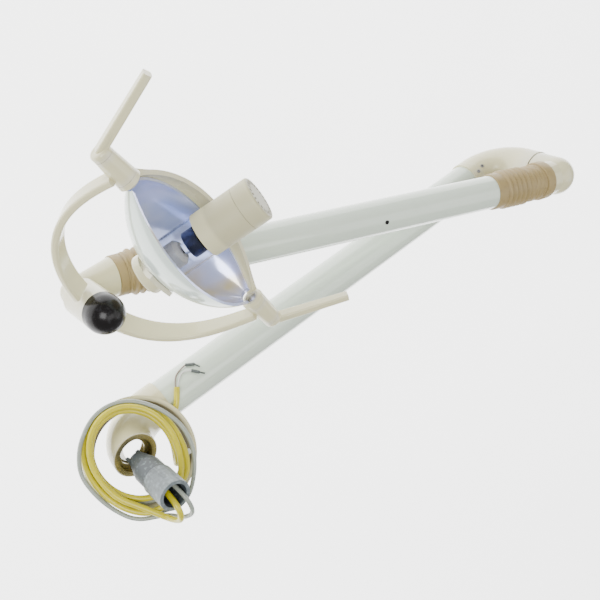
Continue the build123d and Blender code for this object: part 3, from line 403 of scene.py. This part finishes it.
def dichroic():
    """Cold mirror: pale greenish glass outside, a blue grey to straw coating inside the bowl."""
    m, tree, bsdf = new_material("dichroic_glass")
    drift = noise(tree, 13.0, 2.5, (1.0, 1.6, 1.0))
    film = ramp(tree, drift.outputs["Fac"], [(0.30, (0.40, 0.50, 0.86)), (0.46, (0.56, 0.63, 0.96)),
                                             (0.56, (0.66, 0.68, 0.92)), (0.66, (0.72, 0.62, 0.40)),
                                             (0.76, (0.42, 0.48, 0.50))])
    side = ramp(tree, facing(tree, pivot), [(0.0, (0, 0, 0)), (0.12, (1, 1, 1))])
    base = mix(tree, side.outputs["Color"], film.outputs["Color"], (0.70, 0.80, 0.74))
    tree.links.new(base, bsdf.inputs["Base Color"])
    shine = ramp(tree, side.outputs["Color"], [(0.0, (0.55, 0.55, 0.55)), (1.0, (0.15, 0.15, 0.15))])
    tree.links.new(shine.outputs["Color"], bsdf.inputs["Metallic"])
    bsdf.inputs["Coat Weight"].default_value = 0.6
    bsdf.inputs["Coat Roughness"].default_value = 0.03
    smear = noise(tree, 30.0, 5.0)
    r = tree.nodes.new("ShaderNodeMapRange")
    r.inputs["To Min"].default_value = 0.10
    r.inputs["To Max"].default_value = 0.24
    tree.links.new(smear.outputs["Fac"], r.inputs["Value"])
    tree.links.new(r.outputs["Result"], bsdf.inputs["Roughness"])
    bump(tree, bsdf, [(drift.outputs["Fac"], 0.08, 0.001)])
    return m


mats["dichroic_glass"] = dichroic()


def enamel_painted_vent_shade():
    """Cream enamel outside; inside the lamp's housing, seen through its vent slots, the colour is painted near
    black as shade.
    """
    m, tree, bsdf = surface("enamel_painted_vent_shade", CREAM, 0.45, 0, 0.0, shade(CREAM, 0.93), 11, 0.06, 700, 0.05,
                            0.07, None, 0.45, None)
    coord = tree.nodes.new("ShaderNodeTexCoord")
    out = tree.nodes.new("ShaderNodeVectorMath")
    out.operation = "SUBTRACT"
    out.inputs[1].default_value = lamp_centre
    tree.links.new(coord.outputs["Object"], out.inputs[0])
    aside = tree.nodes.new("ShaderNodeVectorMath")
    aside.operation = "CROSS_PRODUCT"
    aside.inputs[1].default_value = lamp_dir
    tree.links.new(out.outputs["Vector"], aside.inputs[0])
    radius = tree.nodes.new("ShaderNodeVectorMath")
    radius.operation = "LENGTH"
    tree.links.new(aside.outputs["Vector"], radius.inputs[0])
    height = tree.nodes.new("ShaderNodeVectorMath")
    height.operation = "DOT_PRODUCT"
    height.inputs[1].default_value = lamp_dir
    tree.links.new(out.outputs["Vector"], height.inputs[0])
    # Inside the housing's radius and length the colour is painted near black: painted shade seen through the
    # vent slots.
    within = ramp(tree, radius.outputs["Value"], [(0.0212, (1, 1, 1)), (0.0216, (0, 0, 0))])
    deep = ramp(tree, height.outputs["Value"], [(0.025, (0, 0, 0)), (0.0255, (1, 1, 1)),
                                                (0.0741, (1, 1, 1)), (0.0745, (0, 0, 0))])
    painted_shade_mask = mix(tree, 1.0, within.outputs["Color"], deep.outputs["Color"], "MULTIPLY")
    unshaded_base = bsdf.inputs["Base Color"].links[0].from_socket
    tree.links.new(mix(tree, painted_shade_mask, unshaded_base, (0.012, 0.011, 0.010)), bsdf.inputs["Base Color"])
    return m


def rosette_painted_shade_enamel():
    """Cream pressed steel whose inside is painted dark brown as shade, up to the plain cream rolled rim."""
    m, tree, bsdf = surface("rosette_painted_shade_enamel", CREAM, 0.3, 0, 0.3, shade(CREAM, 0.93), 11, 0.08, 700, 0.05,
                            0.07, None, 0.45, None)
    coord = tree.nodes.new("ShaderNodeTexCoord")
    out = tree.nodes.new("ShaderNodeVectorMath")
    out.operation = "DISTANCE"
    out.inputs[1].default_value = dish_centre
    tree.links.new(coord.outputs["Object"], out.inputs[0])
    # Within the rim, on the dish's inner face, the colour is painted dark brown with noise: painted shade
    # inside the dish.
    reach = ramp(tree, out.outputs["Value"], [(0.0608, (1, 1, 1)), (0.0618, (0, 0, 0))])
    above = facing(tree, dish_centre - dish_up * 0.5)
    inner = ramp(tree, above, [(0.02, (0, 0, 0)), (0.08, (1, 1, 1))])
    painted_shade_mask = mix(tree, 1.0, reach.outputs["Color"], inner.outputs["Color"], "MULTIPLY")
    shade_noise = noise(tree, 26.0, 5.0)
    painted_shade_tone = ramp(tree, shade_noise.outputs["Fac"], [(0.3, (0.115, 0.095, 0.065)), (0.7, (0.20, 0.175, 0.125))])
    unshaded_base = bsdf.inputs["Base Color"].links[0].from_socket
    tree.links.new(mix(tree, painted_shade_mask, unshaded_base, painted_shade_tone.outputs["Color"]), bsdf.inputs["Base Color"])
    return m


mats["rosette_painted_shade_enamel"] = rosette_painted_shade_enamel()
mats["enamel_painted_vent_shade"] = enamel_painted_vent_shade()
slot_of = {entry["node"]: entry["material_slot"] for entry in frame["record"]["subparts"]}


def paint(piece, material):
    piece.data.materials.clear()
    piece.data.materials.append(material)


own_finish = {"earth_tag": "clip_plastic", "rosette_cover": "rosette_painted_shade_enamel", "vent_cap": "enamel_painted_vent_shade",
              "lamp_housing": "enamel_painted_vent_shade", "stop_screw": "black_plastic"}
for node_name, node in frame["nodes"].items():
    chosen = own_finish.get(node_name, slot_of[node_name])
    paint(node, mats[chosen])
for piece, chosen in ((yellow_cable, "yellow_sheath"), (grey_cable, "grey_sheath"), (brown_wire, "wire_brown"),
                      (white_wire, "wire_white"), (earth_lead, "wire_green")):
    paint(piece, mats[chosen])

# ------------------------------------------------------------------ rubber bellows
BEND_HALF = 0.012


def bellows(name, node, hinge, sections, wrinkle_from, wrinkle_to, sense):
    """Boot made of rings on a bent centre line; sections are (place along it, radius), hinge at 0."""
    bm = bmesh.new()
    count = 72
    loops = []
    for place, radius in sections:
        before, after = (toward_head, arm_dir) if sense > 0 else (arm_dir, toward_head)
        past = smooth(-BEND_HALF, BEND_HALF, place)
        axis = after * past + before * (1 - past)
        axis.normalize()
        centre = hinge + (after * place if place > 0 else before * place)
        side = hinge_dir.normalized()
        over = axis.cross(side).normalized()
        ring = []
        for k in range(count):
            a = 2 * math.pi * k / count
            r = radius
            if wrinkle_from < place < wrinkle_to:
                fade = math.sin(math.pi * (place - wrinkle_from) / (wrinkle_to - wrinkle_from))
                r += fade * 0.0006 * (math.sin(3 * a + place * 900) + 0.7 * math.sin(5 * a - place * 1400 + 1))
                r -= fade * 0.0009 * max(0.0, math.sin(a + 0.6)) * (0.5 + 0.5 * math.sin(place * 1500))
            ring.append(bm.verts.new(centre + side * (r * math.cos(a)) + over * (r * math.sin(a))))
        loops.append(ring)
    for first, second in zip(loops, loops[1:]):
        for k in range(count):
            bm.faces.new((first[k], first[(k + 1) % count], second[(k + 1) % count], second[k]))
    bmesh.ops.recalc_face_normals(bm, faces=bm.faces[:])
    mesh = bpy.data.meshes.new(name)
    bm.to_mesh(mesh)
    bm.free()
    for face in mesh.polygons:
        face.use_smooth = True
    piece = bpy.data.objects.new(name, mesh)
    bpy.context.scene.collection.objects.link(piece)
    paint(piece, mats["tan_rubber"])
    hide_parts(node)
    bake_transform(piece)
    return piece


def rounded_ring(low, high, outer, inner, step=0.0006):
    """Section points of a plain band with rounded edges."""
    r = outer - inner
    points = [(low, inner)]
    for i in range(1, 6):
        a = math.pi / 2 * i / 5
        points.append((low + step * 2.4 * (1 - math.cos(a)), inner + r * math.sin(a)))
    for i in range(5, 0, -1):
        a = math.pi / 2 * i / 5
        points.append((high - step * 2.4 * (1 - math.cos(a)), inner + r * math.sin(a)))
    points.append((high, inner))
    return points


def ridge_run(start, pitch, count, low, high):
    points = []
    for i in range(count * 12 + 1):
        phase = i / 12.0
        wave = 0.5 - 0.5 * math.cos(2 * math.pi * phase)
        points.append((start + pitch * phase, low + (high - low) * wave ** 0.75))
    return points


def plain_run(start, stop, radius, count):
    return [(start + (stop - start) * i / count, radius) for i in range(count + 1)]


near = (rounded_ring(-0.028, -0.0125, 0.0256, 0.0231) + plain_run(-0.0118, 0.013, 0.0235, 26)
        + ridge_run(0.0142, 0.0078, 5, 0.0226, 0.0254) + rounded_ring(0.0535, 0.068, 0.0235, 0.0219))
proximal = bellows("bellows_near_swivel", "proximal_bellows", hinge_a, near,
                   -0.012, 0.014, 1)
far = ([(p - 0.059, r) for p, r in rounded_ring(0.0, 0.0148, 0.0235, 0.0219)]
       + ridge_run(-0.0438, 0.0078, 5, 0.0226, 0.0254) + plain_run(-0.0044, 0.0014, 0.0226, 8)
       + rounded_ring(0.002, 0.0128, 0.0224, 0.0201))
distal = bellows("bellows_near_head", "distal_bellows", hinge_b, far,
                 -0.004, 0.002, -1)

# ------------------------------------------------------------------ floor and light
FLOOR_GLOW = 3.6
FLOOR_DROP = 0.34       # keeps the floor clear of the arm at its lowest
FLOOR_SIZE = 6.0


def floor_material():
    m, tree, bsdf = new_material("floor_white")
    n = noise(tree, 3.0, 2.0)
    tone = ramp(tree, n.outputs["Fac"], [(0.3, (0.93, 0.93, 0.93)), (0.7, (0.95, 0.95, 0.95))])
    tree.links.new(tone.outputs["Color"], bsdf.inputs["Base Color"])
    tree.links.new(tone.outputs["Color"], bsdf.inputs["Emission Color"])
    bsdf.inputs["Emission Strength"].default_value = FLOOR_GLOW
    bsdf.inputs["Roughness"].default_value = 0.9
    return m


bm = bmesh.new()
bmesh.ops.create_grid(bm, x_segments=2, y_segments=2, size=FLOOR_SIZE)
floor_mesh = bpy.data.meshes.new("floor")
bm.to_mesh(floor_mesh)
bm.free()
floor = bpy.data.objects.new("floor", floor_mesh)
floor.location = (0.3, 0.1, cad_box[0][2] - FLOOR_DROP)
bpy.context.scene.collection.objects.link(floor)
paint(floor, floor_material())

world = bpy.data.worlds.new("studio")
bpy.context.scene.world = world
world.use_nodes = True
world.node_tree.nodes["Background"].inputs["Color"].default_value = (1.0, 1.0, 1.0, 1.0)
world.node_tree.nodes["Background"].inputs["Strength"].default_value = 0.55


def softbox(name, place, target, size, power, colour=(1, 1, 1)):
    data = bpy.data.lights.new(name, "AREA")
    data.shape = "RECTANGLE"
    data.size = size[0]
    data.size_y = size[1]
    data.energy = power
    data.color = colour
    lamp = bpy.data.objects.new(name, data)
    lamp.location = place
    lamp.rotation_euler = (Vector(target) - Vector(place)).to_track_quat("-Z", "Y").to_euler()
    bpy.context.scene.collection.objects.link(lamp)


softbox("key", (-0.9, 1.1, 1.9), (0.3, 0.1, 0.0), (1.2, 1.2), 44)
softbox("fill", (1.7, -0.3, 1.6), (0.3, 0.1, 0.0), (1.6, 1.6), 14)
softbox("top", (0.3, 0.1, 2.4), (0.3, 0.1, 0.0), (1.8, 1.0), 16)

bpy.context.view_layer.update()
